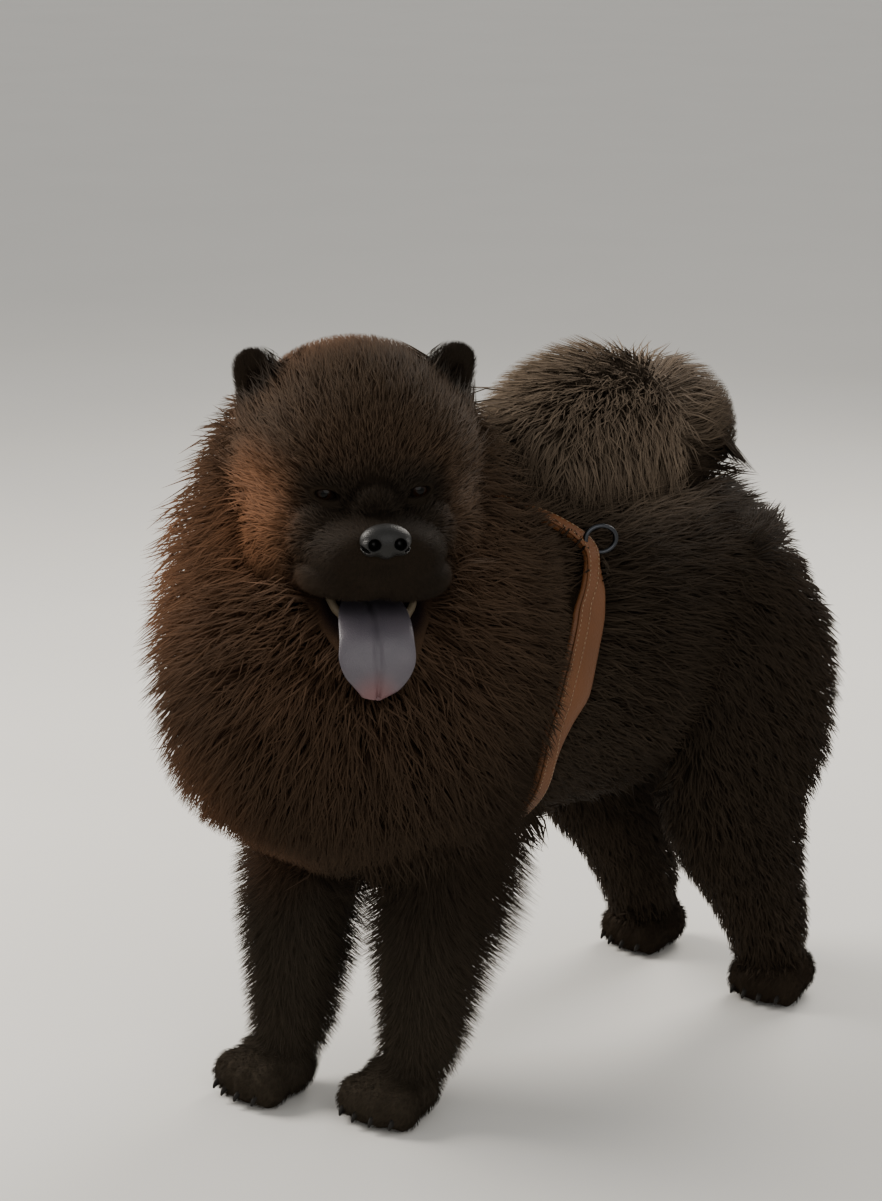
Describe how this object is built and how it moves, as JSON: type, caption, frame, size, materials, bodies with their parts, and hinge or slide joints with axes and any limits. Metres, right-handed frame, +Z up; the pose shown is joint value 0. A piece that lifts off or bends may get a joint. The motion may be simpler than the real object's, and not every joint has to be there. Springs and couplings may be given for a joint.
{
  "type": "chow chow dog",
  "caption": "Life-size standing chow chow with a thick mane, plumed tail, open mouth and a leather harness, as a still display model.",
  "frame": {"origin": "on the floor, below the middle of the bounding box", "axes": "+Z up; the dog faces -Y, its left side is +X, its head is turned to its left"},
  "size_m": [0.3248, 0.682, 0.6358],
  "materials": {
    "body_fur": "long, dense, near-black brown fur",
    "mane_fur": "long brown-black fur with a reddish tinge",
    "tail_fur": "long greyish-brown plume",
    "face_fur": "short, dense, near-black fur",
    "eye": "dark brown, wet gloss",
    "nose_leather": "black pebbled nose leather, slightly damp",
    "tongue": "blue-grey tongue, moist",
    "tooth": "ivory tooth",
    "tan_leather": "tan leather with light stitching",
    "dark_steel": "dark plated steel"
  },
  "bodies": {
    "root": {"ear_left": "face_fur", "ear_right": "face_fur", "eye_left": "eye", "eye_right": "eye", "harness_girth": "tan_leather", "harness_ring": "dark_steel", "harness_trim": "tan_leather", "head": "face_fur", "leg_front_left": "body_fur", "leg_front_right": "body_fur", "leg_hind_left": "body_fur", "leg_hind_right": "body_fur", "lower_jaw": "face_fur", "lower_teeth": "tooth", "neck": "mane_fur", "nose": "nose_leather", "paw_front_left": "body_fur", "paw_front_right": "body_fur", "paw_hind_left": "body_fur", "paw_hind_right": "body_fur", "tail": "tail_fur", "tongue": "tongue", "torso": "body_fur", "upper_teeth": "tooth"}
  },
  "joints": []
}
